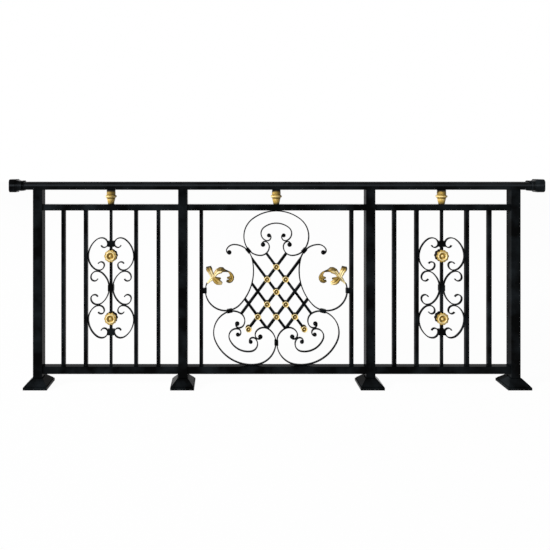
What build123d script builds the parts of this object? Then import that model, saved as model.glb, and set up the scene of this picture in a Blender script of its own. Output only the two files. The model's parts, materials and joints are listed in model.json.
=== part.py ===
"""Steel railing panel: three bays of tube framework with scrollwork, a lattice and gilded castings.

The origin is on the underside of the left end post's foot. +X runs along the panel to the right,
+Y away from the viewer and +Z up.
"""

import math
import os
from collections import namedtuple

from build123d import *

# Framework, in millimetres
side_bay = 780.0
centre_bay = 1010.0
post_size = 50.0
post_wall = 1.5
post_corner = 2.0
lower_rail_lift = 68.0
lower_rail_height = 40.0
infill_height = 840.0
upper_rail_height = 33.0
rail_depth = 40.0
rail_wall = 1.5
spacer_height = 79.0
picket_size = 20.0
picket_wall = 1.2
centre_bar_size = 14.0

# Handrail and its wall ends
handrail_width = 60.0
handrail_height = 43.0
handrail_band_height = 14.0
handrail_band_inset = 4.0
handrail_crown = 10.0
handrail_wall = 1.5
handrail_overhang = 149.0
wall_end_length = 66.0
wall_end_cover = 3.0
wall_flange_width = 76.0
wall_flange_height = 70.0
wall_flange_thickness = 30.0
wall_bell_flare = 9.0
wall_bell_turn = 14.0
wall_ring_length = 9.0
wall_ring_rise = 3.0

# Feet
foot_plate_size = 100.0
foot_plate_thickness = 6.0
foot_hole_spacing = 74.0
foot_hole_diameter = 12.0
cover_margin = 13.5
cover_rim_height = 14.0
cover_step = 5.0
cover_height = 48.0
cover_wall = 1.5
cover_clearance = 0.2

# Side bays: pickets either side of the centre bar
inner_picket_offset = 136.0
outer_picket_offset = 257.0

# Scroll bars, balls and collars
scroll_thickness = 6.0
scroll_depth = 12.0
ball_diameter = 25.0
inner_ball_diameter = 22.0
ball_proud = 2.0
collar_wall = 3.0
collar_length = 28.0
picket_clip_gap = 9.5
bar_collar_length = 32.0

# Lattice bars, and the castings that sit on them
lattice_bar = 14.0
bead_diameter = 34.0
bead_rise = 13.0
bead_rim = 3.0
bead_recess = 4.0
bead_button_diameter = 16.0
rosette_diameter = 70.0
rosette_rise = 17.0
rosette_stem_diameter = 28.0
rosette_rim_lift = 10.0
rosette_lip = 3.0
rosette_dish_diameter = 40.0
rosette_dish_depth = 6.0
rosette_button_diameter = 22.0
rosette_petals = 10
rosette_notch_diameter = 13.0
rosette_offset = 169.0
rosette_lift = 5.0
spacer_foot_diameter = 34.0
spacer_foot_height = 6.0
spacer_vase_swell = 3.0
spacer_neck_diameter = 36.0
spacer_ring_diameter = 62.0
spacer_ring_height = 14.0
spacer_ring_land = 54.0
spacer_drum_diameter = 46.0
spacer_drum_height = 30.0
leaf_thickness = 9.0

# Scrolls: tangent arcs as (radius of the outer face, degrees), scaled to the space they fill
motif_arcs = [(216, 37), (122, 88), (86, 55), (51, 90), (32, 60), (21, 115)]
motif_inner_arcs = [(112, 38), (44, 122), (23, 110), (19, 60)]
motif_tilt = 150.5
flank_arcs = [(102, 75), (269, 58), (112, 159)]
flank_hook_arcs = [(48, 60), (22, 100)]
flank_drawn_reach = 386.77
lattice_top_drop = 305.0
lattice_foot_lift = 199.0
lattice_levels = 5
lattice_waist_columns = 2.41
bay_drawn_gap = 119.0
outer_rise_arcs = [(118, 52), (50, 38), (35, 90), (23, 90), (19, 75)]
outer_fall_arcs = [(87, 50), (47, 40), (31, 90), (20, 90), (21, 62)]
middle_arcs = [(107, 50), (48, 40), (36, 90), (23, 90), (21, 68)]

# Heights and places that follow from the sizes above
lower_top = lower_rail_lift + lower_rail_height
upper_bottom = lower_top + infill_height
upper_top = upper_bottom + upper_rail_height
handrail_bottom = upper_top + spacer_height
infill_middle = lower_top + infill_height / 2
post_x = [0, side_bay, side_bay + centre_bay, 2 * side_bay + centre_bay]
bay_x = [(a + b) / 2 for a, b in zip(post_x, post_x[1:])]
bay_names = ["left", "centre", "right"]
post_names = ["left_end", "left_inner", "right_inner", "right_end"]
rail_start = -handrail_overhang
rail_end = post_x[-1] + handrail_overhang
cover_size = foot_plate_size + 2 * cover_margin
ball_radius = ball_diameter / 2
inner_ball_radius = inner_ball_diameter / 2

Arc = namedtuple("Arc", "centre radius first sweep")


def unit(angle):
    """Unit vector at an angle in degrees."""
    return Vector(math.cos(math.radians(angle)), math.sin(math.radians(angle)))


def scaled(arcs, factor):
    """The same arcs with every radius multiplied by a factor."""
    return [(radius * factor, degrees) for radius, degrees in arcs]


def walk(start, heading, turn, arcs):
    """Follow tangent arcs that turn left (1) or right (-1); give them with the last point and heading."""
    point = Vector(*start)
    path = []
    for radius, degrees in arcs:
        centre = point + unit(heading + turn * 90) * radius
        path.append(Arc(centre, radius, heading - turn * 90, turn * degrees))
        heading += turn * degrees
        point = centre + unit(heading - turn * 90) * radius
    return path, point, heading


def covers(arc, angle):
    """Whether an arc passes through the direction of an angle from its centre."""
    travel = (angle - arc.first) * (1 if arc.sweep > 0 else -1)
    return travel % 360 <= abs(arc.sweep)


def rise_over(upper_x, upper_radius, lower_x, lower_radius):
    """How far one circle's centre is above another's that it stands on."""
    return math.sqrt((upper_radius + lower_radius) ** 2 - (upper_x - lower_x) ** 2)


def standing_height(over, under):
    """How far one arc's centre is above another's where it stands on it, or minus infinity if it can't."""
    apart = under.centre.X - over.centre.X
    if abs(apart) >= over.radius + under.radius:
        return -math.inf
    height = rise_over(over.centre.X, over.radius, under.centre.X, under.radius)
    downward = math.degrees(math.atan2(-height, apart))
    return height if covers(over, downward) and covers(under, downward + 180) else -math.inf


def front(x):
    """The vertical plane of the panel seen by the viewer, with its origin at x on the ground."""
    return Plane((x, 0, 0), x_dir=(1, 0, 0), z_dir=(0, -1, 0))


def face_plane(x, y, z, toward):
    """A plane at a point, facing the viewer (-1) or away (1)."""
    return Plane((x, y, z), x_dir=(-toward, 0, 0), z_dir=(0, toward, 0))


def flipped(half, side):
    """One half of a scroll as it is (-1, left of the axis) or mirrored to the right (1)."""
    (x, z), heading, turn, arcs = half
    if side < 0:
        return half
    return (-x, z), 180 - heading, -turn, arcs


def halves(middle, tilt, arcs):
    """The two halves of a symmetrical scroll from the middle of its back."""
    return [(middle, tilt, -1, arcs), (middle, tilt + 180, 1, arcs)]


def draw_bar(half):
    """Draw a flat bar on edge in the open sketch, its outer face on the arcs."""
    path, _, _ = walk(*half)
    with BuildLine() as outline:
        for arc in path:
            CenterArc(arc.centre, arc.radius, arc.first, arc.sweep)
            CenterArc(arc.centre, arc.radius - scroll_thickness, arc.first, arc.sweep)
        for arc, angle in ((path[0], path[0].first), (path[-1], path[-1].first + path[-1].sweep)):
            outward = unit(angle)
            outer = arc.centre + outward * arc.radius
            Line(outer, outer - outward * scroll_thickness)
    make_face(outline.edges())


def draw_inside(half, closing):
    """Draw the area inside a scroll's outer face, closed through a list of points."""
    path, end, _ = walk(*half)
    with BuildLine() as outline:
        for arc in path:
            CenterArc(arc.centre, arc.radius, arc.first, arc.sweep)
        Polyline(end, *closing, Vector(*half[0]))
    make_face(outline.edges())


def add_ball(x, half, radius):
    """Add the ball at a bar's end, a little proud of the outer face, its seam on the free side."""
    _, end, heading = walk(*half)
    turn = half[2]
    centre = end + unit(heading + turn * 90) * (radius - ball_proud)
    seam = unit(heading + turn * 60)
    with Locations(Plane((x + centre.X, 0, centre.Y), x_dir=(seam.X, 0, seam.Y), z_dir=(0, -1, 0))):
        Sphere(radius)


def scroll(x, parts, balled, radius):
    """Scroll bar of two halves about the axis at x, with a ball on the end of each half in balled."""
    with BuildPart() as piece:
        with BuildSketch(front(x)):
            for half in parts:
                draw_bar(half)
        extrude(amount=scroll_depth / 2, both=True)
        for half in balled:
            add_ball(x, half, radius)
    return piece


def tube(plane, width, height, wall, corner, length):
    """Rectangular tube along a plane's normal."""
    with BuildPart() as piece:
        with BuildSketch(plane):
            RectangleRounded(width, height, corner)
            RectangleRounded(width - 2 * wall, height - 2 * wall, corner / 2, mode=Mode.SUBTRACT)
        extrude(amount=length)
    return piece


def save(piece, label):
    """Name a finished piece and write it."""
    piece.part.label = label
    export_step(piece.part, f"parts/{label}.step")


os.makedirs("parts", exist_ok=True)

# Handrail: a moulded tube with a rolled top over a straight band
half_width = handrail_width / 2
band_half = half_width - handrail_band_inset
handrail_shoulder = handrail_bottom + handrail_height - handrail_crown
with BuildPart() as handrail:
    with BuildSketch(Plane.YZ.offset(rail_start + wall_flange_thickness)) as handrail_profile:
        with BuildLine():
            Polyline(
                (0, handrail_bottom),
                (band_half, handrail_bottom),
                (band_half, handrail_bottom + handrail_band_height),
            )
            ThreePointArc(
                (band_half, handrail_bottom + handrail_band_height),
                (half_width, handrail_shoulder - handrail_crown),
                (band_half, handrail_shoulder),
            )
            ThreePointArc(
                (band_half, handrail_shoulder),
                (0, handrail_bottom + handrail_height),
                (-band_half, handrail_shoulder),
            )
            ThreePointArc(
                (-band_half, handrail_shoulder),
                (-half_width, handrail_shoulder - handrail_crown),
                (-band_half, handrail_bottom + handrail_band_height),
            )
            Polyline(
                (-band_half, handrail_bottom + handrail_band_height),
                (-band_half, handrail_bottom),
                (0, handrail_bottom),
            )
        make_face()
    extrude(amount=rail_end - rail_start - 2 * wall_flange_thickness)
    with BuildSketch(Plane.YZ.offset(rail_start + wall_flange_thickness)):
        offset(handrail_profile.sketch_local, amount=-handrail_wall)
    extrude(amount=rail_end - rail_start - 2 * wall_flange_thickness, mode=Mode.SUBTRACT)
save(handrail, "handrail")

# Wall ends: a deep flange, a bell and a ring round the end of the handrail
handrail_middle = handrail_bottom + handrail_height / 2
socket_width = handrail_width + 2 * wall_end_cover
socket_height = handrail_height + 2 * wall_end_cover
bell_length = wall_end_length - wall_flange_thickness - wall_ring_length
for label, end_x, inward in (("left", rail_start, 1), ("right", rail_end, -1)):
    bell_plane = Plane((end_x, 0, handrail_middle), x_dir=(0, 1, 0), z_dir=(inward, 0, 0))
    with BuildPart() as wall_end:
        with BuildSketch(bell_plane):
            RectangleRounded(wall_flange_width, wall_flange_height, wall_flange_height / 4)
        extrude(amount=wall_flange_thickness)
        for reach, flare in ((0, wall_bell_flare), (wall_bell_turn, wall_bell_flare / 3), (bell_length, 0)):
            height = socket_height + 2 * flare
            with BuildSketch(bell_plane.offset(wall_flange_thickness + reach)):
                RectangleRounded(socket_width + flare, height, height / 3)
        loft(ruled=True)
        with BuildSketch(bell_plane.offset(wall_flange_thickness + bell_length)):
            RectangleRounded(
                socket_width + 2 * wall_ring_rise, socket_height + 2 * wall_ring_rise, socket_height / 3
            )
        extrude(amount=wall_ring_length)
        with BuildSketch(Plane.YZ.offset(end_x + inward * wall_flange_thickness)):
            add(handrail_profile.sketch_local)
        extrude(amount=inward * wall_end_length, mode=Mode.SUBTRACT)
    save(wall_end, f"wall_end_{label}")

# Posts, foot plates and their covers
for name, x in zip(post_names, post_x):
    post_plane = Plane((x, 0, foot_plate_thickness))
    post = tube(
        post_plane, post_size, post_size, post_wall, post_corner, handrail_bottom - foot_plate_thickness
    )
    save(post, f"post_{name}")

    with BuildPart() as cover:
        for inset in (0, cover_wall):
            kind = Mode.SUBTRACT if inset else Mode.ADD
            slope_base = cover_size - 2 * cover_step - 2 * inset
            slope_top = post_size + 2 * cover_step - 2 * inset
            with BuildSketch(Plane((x, 0, 0))):
                Rectangle(cover_size - 2 * inset, cover_size - 2 * inset)
            extrude(amount=cover_rim_height - inset, mode=kind)
            with BuildSketch(Plane((x, 0, cover_rim_height - inset))):
                Rectangle(slope_base, slope_base)
            extrude(amount=cover_step, mode=kind)
            with BuildSketch(Plane((x, 0, cover_rim_height + cover_step - inset))):
                Rectangle(slope_base, slope_base)
            with BuildSketch(Plane((x, 0, cover_height - inset))):
                Rectangle(slope_top, slope_top)
            loft(mode=kind)
        with BuildSketch(Plane((x, 0, 0))):
            RectangleRounded(
                post_size + 2 * cover_clearance, post_size + 2 * cover_clearance, post_corner
            )
        extrude(amount=cover_height, mode=Mode.SUBTRACT)
    save(cover, f"foot_cover_{name}")

with BuildPart() as foot_plates:
    with BuildSketch():
        with Locations(*[(x, 0) for x in post_x]):
            Rectangle(foot_plate_size, foot_plate_size)
            with GridLocations(foot_hole_spacing, foot_hole_spacing, 2, 2):
                Circle(foot_hole_diameter / 2, mode=Mode.SUBTRACT)
    extrude(amount=foot_plate_thickness)
save(foot_plates, "foot_plates")

# Rails between the posts, and a turned spacer over each bay
spacer_foot = spacer_foot_diameter / 2
spacer_neck = spacer_neck_diameter / 2
spacer_drum = spacer_drum_diameter / 2
ring_land = spacer_ring_land / 2
ring_top = handrail_bottom - spacer_drum_height
ring_bottom = ring_top - spacer_ring_height
ring_edge = (spacer_ring_diameter / 2, (ring_bottom + ring_top) / 2)
vase_bottom = upper_top + spacer_foot_height
vase_side = ((spacer_foot + spacer_neck) / 2 + spacer_vase_swell, (vase_bottom + ring_bottom) / 2)
for name, x, left, right in zip(bay_names, bay_x, post_x, post_x[1:]):
    clear = right - left - post_size
    for level, z, height in (
        ("lower", lower_rail_lift, lower_rail_height),
        ("upper", upper_bottom, upper_rail_height),
    ):
        rail_plane = Plane((left + post_size / 2, 0, z + height / 2), x_dir=(0, 1, 0), z_dir=(1, 0, 0))
        rail = tube(rail_plane, rail_depth, height, rail_wall, post_corner, clear)
        save(rail, f"{level}_rail_{name}")

    with BuildPart() as spacer:
        with BuildSketch(front(x)):
            with BuildLine():
                Polyline((0, upper_top), (spacer_foot, upper_top), (spacer_foot, vase_bottom))
                ThreePointArc((spacer_foot, vase_bottom), vase_side, (spacer_neck, ring_bottom))
                Line((spacer_neck, ring_bottom), (ring_land, ring_bottom))
                ThreePointArc((ring_land, ring_bottom), ring_edge, (ring_land, ring_top))
                Polyline(
                    (ring_land, ring_top),
                    (spacer_drum, ring_top),
                    (spacer_drum, handrail_bottom),
                    (0, handrail_bottom),
                    (0, upper_top),
                )
            make_face()
        revolve(axis=Axis((x, 0, 0), (0, 0, 1)))
    save(spacer, f"spacer_{name}")

# Centre bay: two feet on the lower rail, a flank scroll on each and the crown on the flank scrolls
def resting_foot(arcs):
    """Where the left foot rests on the ground line and touches its twin on the axis.

    Gives the middle of its back, the arc that meets its twin and the arc that carries the flank scroll.
    """
    paths = [walk(*half)[0] for half in halves((0, 0), motif_tilt, arcs)]
    resting = [arc for path in paths for arc in path[:3]]
    low = next(arc for arc in resting if covers(arc, 270))
    near = next(arc for arc in resting if covers(arc, 360))
    carrying = next(path[2] for path in paths if covers(path[2], 90))
    return Vector(-near.centre.X - near.radius, low.radius - low.centre.Y), near, carrying


def stacked(foot, crown, flank, reach):
    """Top of the left flank scroll, and height of the crown, when they stand on a foot at this reach."""
    middle, _, carrying = resting_foot(foot)
    seat = middle + carrying.centre
    shoulder, _, heel = walk((0, 0), 0, -1, flank)[0]
    heel_x = heel.radius - reach
    heel_z = seat.Y + rise_over(heel_x, heel.radius, seat.X, carrying.radius)
    top = Vector(heel_x, heel_z) - heel.centre
    hung = walk(*halves((0, 0), 0, crown)[1])[0][2]
    shoulder_at = top + shoulder.centre
    crown_z = shoulder_at.Y + rise_over(hung.centre.X, hung.radius, shoulder_at.X, shoulder.radius)
    return top, crown_z - hung.centre.Y


_, drawn_height = stacked(motif_arcs, motif_arcs, flank_arcs, flank_drawn_reach)
fit = infill_height / drawn_height
outer = scaled(motif_arcs, fit)
inner = scaled(motif_inner_arcs, fit)
flank = scaled(flank_arcs, fit)
flank_reach = flank_drawn_reach * fit
picket_touch = flank_reach + picket_clip_gap
centre_picket_offset = picket_touch + picket_size / 2
centre_x = bay_x[1]
foot_place, near, carrying = resting_foot(outer)
flank_place, _ = stacked(outer, outer, flank, flank_reach)
foot_middle = (foot_place.X, lower_top + foot_place.Y)
flank_top = (flank_place.X, lower_top + flank_place.Y)
crown_middle = (0, upper_bottom)

# The inner scroll of each motif stands on the outer one's volutes, where their round stretches touch
outer_path, _, _ = walk((0, 0), 0, -1, outer)
inner_path, _, _ = walk((0, 0), 0, -1, inner)
inner_drop = max(
    under.centre.Y + standing_height(over, under) - over.centre.Y
    for under in outer_path[3:]
    for over in inner_path[1:]
)


def inner_middle(middle, tilt):
    """Middle of the inner scroll's back, below the middle of the outer one's."""
    place = Vector(*middle) + unit(tilt + 90) * inner_drop
    return place.X, place.Y


crown_halves = halves(crown_middle, 0, outer)
foot_halves = halves(foot_middle, motif_tilt, outer)
crown_inner_halves = halves(inner_middle(crown_middle, 0), 0, inner)
crown = scroll(centre_x, crown_halves, crown_halves, ball_radius)
crown_inner = scroll(centre_x, crown_inner_halves, crown_inner_halves, inner_ball_radius)
save(crown, "crown_scroll")
save(crown_inner, "crown_inner_scroll")

# Flank scrolls touch the crown and the foot, and the pickets stand a clip away from where they reach furthest
crown_touch = walk(*crown_halves[1])[0][2]
foot_touch_centre = Vector(*foot_middle) + carrying.centre
flank_path, flank_end, flank_heading = walk(flank_top, 0, -1, flank)
flank_main = (flank_top, 0, -1, flank)
flank_hook = (flank_top, 180, 1, scaled(flank_hook_arcs, fit))
sides = (("left", -1), ("right", 1))
flanks, feet = {}, {}
for name, side in sides:
    flank_halves = [flipped(flank_main, side), flipped(flank_hook, side)]
    flanks[name] = scroll(centre_x, flank_halves, flank_halves[1:], ball_radius)
    save(flanks[name], f"flank_scroll_{name}")

    side_halves = [flipped(half, side) for half in foot_halves]
    feet[name] = scroll(centre_x, side_halves, side_halves, ball_radius)
    save(feet[name], f"foot_scroll_{name}")

    foot_inner_halves = halves(inner_middle(foot_middle, motif_tilt), motif_tilt, inner)
    side_halves = [flipped(half, side) for half in foot_inner_halves]
    foot_inner = scroll(centre_x, side_halves, side_halves, inner_ball_radius)
    save(foot_inner, f"foot_inner_scroll_{name}")

# Collars where the centre bay's scrolls touch each other, and clips that hold them to the pickets
touch = crown_touch.centre - flank_path[0].centre
rest = foot_touch_centre - flank_path[2].centre
collar_spots = [(Vector(0, foot_middle[1] + near.centre.Y), 90)]
for contact, across in (
    (flank_path[0].centre + touch.normalized() * flank_path[0].radius, touch),
    (flank_path[2].centre + rest.normalized() * flank_path[2].radius, rest),
):
    heading = math.degrees(math.atan2(across.Y, across.X)) + 90
    collar_spots += [(contact, heading), (Vector(-contact.X, contact.Y), 180 - heading)]
tight_radius = crown_touch.radius - scroll_thickness
bow = tight_radius - math.sqrt(tight_radius**2 - (collar_length / 2) ** 2)
slot = scroll_thickness + bow
collar_depth = scroll_depth + 2 * collar_wall
with BuildPart() as collars:
    for contact, heading in collar_spots:
        along = unit(heading)
        spot = Plane((centre_x + contact.X, 0, contact.Y), x_dir=(0, 1, 0), z_dir=(along.X, 0, along.Y))
        with BuildSketch(spot):
            Rectangle(collar_depth, 2 * (slot + collar_wall))
            Rectangle(scroll_depth, 2 * slot, mode=Mode.SUBTRACT)
        extrude(amount=collar_length / 2, both=True)
    for side in (-1, 1):
        spot = Plane(
            (centre_x + side * picket_touch, 0, flank_path[2].centre.Y),
            x_dir=(0, side, 0),
            z_dir=(0, 0, 1),
        )
        inward = (Align.CENTER, Align.MIN)
        with BuildSketch(spot):
            Rectangle(collar_depth, picket_clip_gap + slot + collar_wall, align=inward)
            with Locations((0, picket_clip_gap)):
                Rectangle(scroll_depth, slot, align=inward, mode=Mode.SUBTRACT)
        extrude(amount=collar_length / 2, both=True)
save(collars, "scroll_collars")

# Lattice: crossing bars end on the outer faces of the scrolls and collars round them
waist = min(-arc.centre.X - arc.radius for arc in flank_path if covers(arc, 360))
pitch_x = waist / lattice_waist_columns
lattice_top = upper_bottom - lattice_top_drop * fit
lattice_bottom = lower_top + lattice_foot_lift * fit
pitch_z = (lattice_top - lattice_bottom) / lattice_levels


def lattice_node(column, level):
    """A lattice crossing, counted in pitches right of the axis and down from the top one."""
    return column * pitch_x, lattice_top - level * pitch_z


def motif_axis(middle, tilt):
    """Where the line between a motif's bar ends crosses its axis."""
    _, end, _ = walk(middle, tilt, -1, outer)
    down = unit(tilt - 90)
    return Vector(*middle) + down * (end - Vector(*middle)).dot(down)


lattice_spans = {0: (-1.3, 4.4), 2: (-1.3, 5), 4: (1.2, 5.2), 6: (2.2, 5.2)}
with BuildPart() as lattice:
    with BuildSketch(front(centre_x)):
        for column, (first, last) in lattice_spans.items():
            for side in (-1, 1):
                start = Vector(*lattice_node(side * (column - first), first))
                stop = Vector(*lattice_node(side * (column - last), last))
                along = stop - start
                middle = (start + stop) / 2
                with Locations(Location((middle.X, middle.Y), math.degrees(math.atan2(along.Y, along.X)))):
                    Rectangle(along.length, lattice_bar)
    extrude(amount=lattice_bar / 2, both=True)
    with BuildSketch(front(centre_x)):
        for half in crown_halves:
            draw_inside(half, [motif_axis(crown_middle, 0)])
        for side in (-1, 1):
            axis_point = motif_axis(foot_middle, motif_tilt)
            for half in foot_halves:
                draw_inside(flipped(half, side), [Vector(-side * axis_point.X, axis_point.Y)])
            draw_inside(flipped(flank_main, side), [])
        for contact, heading in collar_spots:
            with Locations(Location((contact.X, contact.Y), heading)):
                Rectangle(collar_length, 2 * (slot + collar_wall))
    extrude(amount=lattice_bar, both=True, mode=Mode.SUBTRACT)
save(lattice, "lattice")


def casting(plane, profile):
    """Turned casting on a face: its profile as (radius, rise) pairs is revolved about the plane's normal."""
    section = Plane(plane.origin, x_dir=plane.x_dir, z_dir=-plane.y_dir)
    with BuildSketch(section) as shape:
        with BuildLine() as outline:
            Polyline(*profile, close=True)
        make_face(outline.edges())
    revolve(shape.sketch, axis=Axis(plane.origin, plane.z_dir))


# Gilded beads on the lattice crossings, on both faces: a cup with a button in its recess
bead_radius = bead_diameter / 2
bead_button = bead_button_diameter / 2
bead_profile = [
    (0, 0),
    (bead_radius - bead_rim, 0),
    (bead_radius, bead_rise - bead_recess),
    (bead_radius - bead_rim, bead_rise),
    (bead_button, bead_rise - bead_recess),
    (bead_button, bead_rise - bead_rim),
    (0, bead_rise),
]
bead_nodes = [(0, 0), (-1, 1), (1, 1), (0, 2), (-1, 3), (1, 3), (-2, 4), (0, 4), (2, 4), (-3, 5), (3, 5)]
with BuildPart() as beads:
    for toward in (-1, 1):
        for column, level in bead_nodes:
            x, z = lattice_node(column, level)
            casting(face_plane(centre_x + x, toward * lattice_bar / 2, z, toward), bead_profile)
save(beads, "lattice_beads")

# Gilded leaves on the ends of the flank scrolls: fronds as (along, out, up) points with half widths
leaf_root = flank_end + unit(flank_heading + 90) * (-scroll_thickness / 2)
leaf_fronds = [
    [((0, 0, -6), 4), ((20, 0, 16), 10), ((42, -4, 38), 14)],
    [((38, -2, 30), 10), ((24, -8, 60), 14), ((15, -16, 80), 9), ((7, -12, 90), 4)],
    [((38, -2, 32), 10), ((62, -8, 68), 14), ((92, -10, 76), 13), ((124, -8, 60), 10), ((140, -4, 36), 8)],
    [((138, -4, 40), 8), ((139, -2, 22), 10), ((124, 0, 12), 8), ((111, 0, 22), 4)],
    [((34, -2, 34), 10), ((54, -8, 19), 12), ((75, -12, 2), 4)],
]
with BuildPart() as leaf_left:
    for frond in leaf_fronds:
        spots = [
            (Vector(centre_x + leaf_root.X + u * fit, v, leaf_root.Y + w * fit), width * fit)
            for (u, v, w), width in frond
        ]
        with BuildLine(mode=Mode.PRIVATE):
            vein = Spline(*[point for point, _ in spots])
        for point, width in spots:
            along = vein.tangent_at(point)
            across = along.cross(Vector(0, 1, 0)).normalized()
            with BuildSketch(Plane(point, x_dir=across, z_dir=along)):
                Ellipse(width, leaf_thickness / 2)
        loft(ruled=True)
    add(flanks["left"].part, mode=Mode.SUBTRACT)
save(leaf_left, "leaf_left")

with BuildPart() as leaf_right:
    mirror(leaf_left.part, about=Plane.YZ.offset(centre_x))
save(leaf_right, "leaf_right")

# Pickets: two of tube in the centre bay and four in each side bay
for name, x in zip(bay_names, bay_x):
    offsets = [inner_picket_offset, outer_picket_offset]
    if name == "centre":
        offsets = [centre_picket_offset]
    with BuildPart() as pickets:
        with BuildSketch(Plane.XY.offset(lower_top)):
            with Locations(*[(x + side * offset_x, 0) for offset_x in offsets for side in (-1, 1)]):
                Rectangle(picket_size, picket_size)
                inside = picket_size - 2 * picket_wall
                Rectangle(inside, inside, mode=Mode.SUBTRACT)
        extrude(amount=infill_height)
    save(pickets, f"pickets_{name}")

# Side bays: a centre bar with six scrolls, three collars and two rosettes
bay_gap = inner_picket_offset - picket_size / 2 - centre_bar_size / 2
bay_fit = bay_gap / bay_drawn_gap
picket_face = inner_picket_offset - picket_size / 2
bar_face = centre_bar_size / 2
rise = scaled(outer_rise_arcs, bay_fit)
fall = scaled(outer_fall_arcs, bay_fit)
swell = scaled(middle_arcs, bay_fit)
fall_path, _, _ = walk((-picket_face, 0), 270, 1, fall)
swell_path, _, _ = walk((-bar_face, 0), 90, 1, swell)
above, below = fall_path[1], swell_path[1]
outer_lift = (
    below.centre.Y
    - above.centre.Y
    + math.sqrt((above.radius + below.radius) ** 2 - (above.centre.X - below.centre.X) ** 2)
)
rise_path, _, _ = walk((-picket_face, outer_lift), 90, -1, rise)
volute_z = rise_path[2].centre.Y
volute_face = -rise_path[2].centre.X - rise_path[2].radius
bar_collar_width = 2 * (volute_face + collar_wall)

# Rosette: a dish on a short stem with a notched rim and a button in its middle
rosette_radius = rosette_diameter / 2
rosette_notch = rosette_notch_diameter / 2
rosette_dish = rosette_dish_diameter / 2
rosette_button = rosette_button_diameter / 2
rosette_profile = [
    (0, 0),
    (rosette_stem_diameter / 2, 0),
    (rosette_radius, rosette_rim_lift),
    (rosette_radius, rosette_rim_lift + rosette_lip),
    (rosette_dish, rosette_rim_lift),
    (rosette_dish, rosette_rim_lift - rosette_dish_depth),
    (rosette_button, rosette_rim_lift - rosette_dish_depth),
    (rosette_button, rosette_rise - rosette_lip),
    (0, rosette_rise),
]

for name, x in ((bay_names[0], bay_x[0]), (bay_names[2], bay_x[2])):
    with BuildPart() as centre_bar:
        with BuildSketch(Plane.XY.offset(lower_top)):
            with Locations((x, 0)):
                Rectangle(centre_bar_size, centre_bar_size)
        extrude(amount=infill_height)
    save(centre_bar, f"centre_bar_{name}")

    with BuildPart() as outer_scrolls:
        with BuildSketch(front(x)):
            for side in (-1, 1):
                draw_bar(flipped(((-picket_face, infill_middle + outer_lift), 90, -1, rise), side))
                draw_bar(flipped(((-picket_face, infill_middle + outer_lift), 270, 1, fall), side))
                draw_bar(flipped(((-picket_face, infill_middle - outer_lift), 270, 1, rise), side))
                draw_bar(flipped(((-picket_face, infill_middle - outer_lift), 90, -1, fall), side))
        extrude(amount=scroll_depth / 2, both=True)
    save(outer_scrolls, f"outer_scrolls_{name}")

    with BuildPart() as middle_scrolls:
        with BuildSketch(front(x)):
            for side in (-1, 1):
                draw_bar(flipped(((-bar_face, infill_middle), 90, 1, swell), side))
                draw_bar(flipped(((-bar_face, infill_middle), 270, -1, swell), side))
        extrude(amount=scroll_depth / 2, both=True)
    save(middle_scrolls, f"middle_scrolls_{name}")

    with BuildPart() as bar_collars:
        with BuildSketch(front(x)):
            with Locations((0, infill_middle - volute_z), (0, infill_middle + volute_z)):
                Rectangle(bar_collar_width, bar_collar_length)
            with Locations((0, infill_middle)):
                Rectangle(centre_bar_size + 2 * (scroll_thickness + collar_wall), bar_collar_length)
        extrude(amount=centre_bar_size / 2 + collar_wall, both=True)
        for piece in (centre_bar, outer_scrolls, middle_scrolls):
            add(piece.part, mode=Mode.SUBTRACT)
    save(bar_collars, f"bar_collars_{name}")

    with BuildPart() as rosettes:
        for toward in (-1, 1):
            for lift in (rosette_lift - rosette_offset, rosette_lift + rosette_offset):
                rosette_plane = face_plane(x, toward * bar_face, infill_middle + lift, toward)
                casting(rosette_plane, rosette_profile)
                with BuildSketch(rosette_plane):
                    with PolarLocations(rosette_radius + rosette_notch / 2, rosette_petals):
                        Circle(rosette_notch)
                extrude(amount=rosette_rise, mode=Mode.SUBTRACT)
    save(rosettes, f"rosettes_{name}")
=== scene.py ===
"""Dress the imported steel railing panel: black coat, gilded castings, welds, stage, light, camera."""

import json
import logging
import math
from dataclasses import dataclass
from enum import Enum

import bmesh
import bpy
from mathutils import Matrix, Vector

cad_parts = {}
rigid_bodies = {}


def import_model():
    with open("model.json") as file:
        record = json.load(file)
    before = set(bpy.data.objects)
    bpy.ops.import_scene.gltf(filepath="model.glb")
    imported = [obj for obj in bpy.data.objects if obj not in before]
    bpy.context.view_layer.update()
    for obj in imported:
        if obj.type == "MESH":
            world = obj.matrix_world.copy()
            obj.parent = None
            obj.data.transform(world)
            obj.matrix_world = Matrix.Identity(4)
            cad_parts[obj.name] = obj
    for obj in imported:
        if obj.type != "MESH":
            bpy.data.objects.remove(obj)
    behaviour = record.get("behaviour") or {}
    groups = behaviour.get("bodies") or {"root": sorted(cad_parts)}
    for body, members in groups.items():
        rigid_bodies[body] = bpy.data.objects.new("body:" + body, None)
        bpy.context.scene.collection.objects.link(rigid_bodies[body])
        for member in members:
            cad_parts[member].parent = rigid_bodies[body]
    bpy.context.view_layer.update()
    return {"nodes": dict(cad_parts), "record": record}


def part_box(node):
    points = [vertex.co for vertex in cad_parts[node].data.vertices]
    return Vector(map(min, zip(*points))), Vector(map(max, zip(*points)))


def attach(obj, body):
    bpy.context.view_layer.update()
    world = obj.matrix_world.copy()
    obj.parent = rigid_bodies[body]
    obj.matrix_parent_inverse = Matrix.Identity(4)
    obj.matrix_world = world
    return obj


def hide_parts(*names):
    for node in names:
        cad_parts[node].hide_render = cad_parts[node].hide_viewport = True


LOG = logging.getLogger("railing")
MM = 0.001
BODY = "root"
# Mesh attribute of patina in the hollows and painted shade, which the gold paint reads
PATINA_AND_SHADE = "patina"
TURN = "turn"
QUARTER_TURN = math.radians(90)
SHARP_ANGLE = math.radians(42)
SAME_PLACE = 1e-5
# Value past the last stop of the gold's ramp: black, painted as shade
BLACK_SHADE = 1.1

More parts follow.
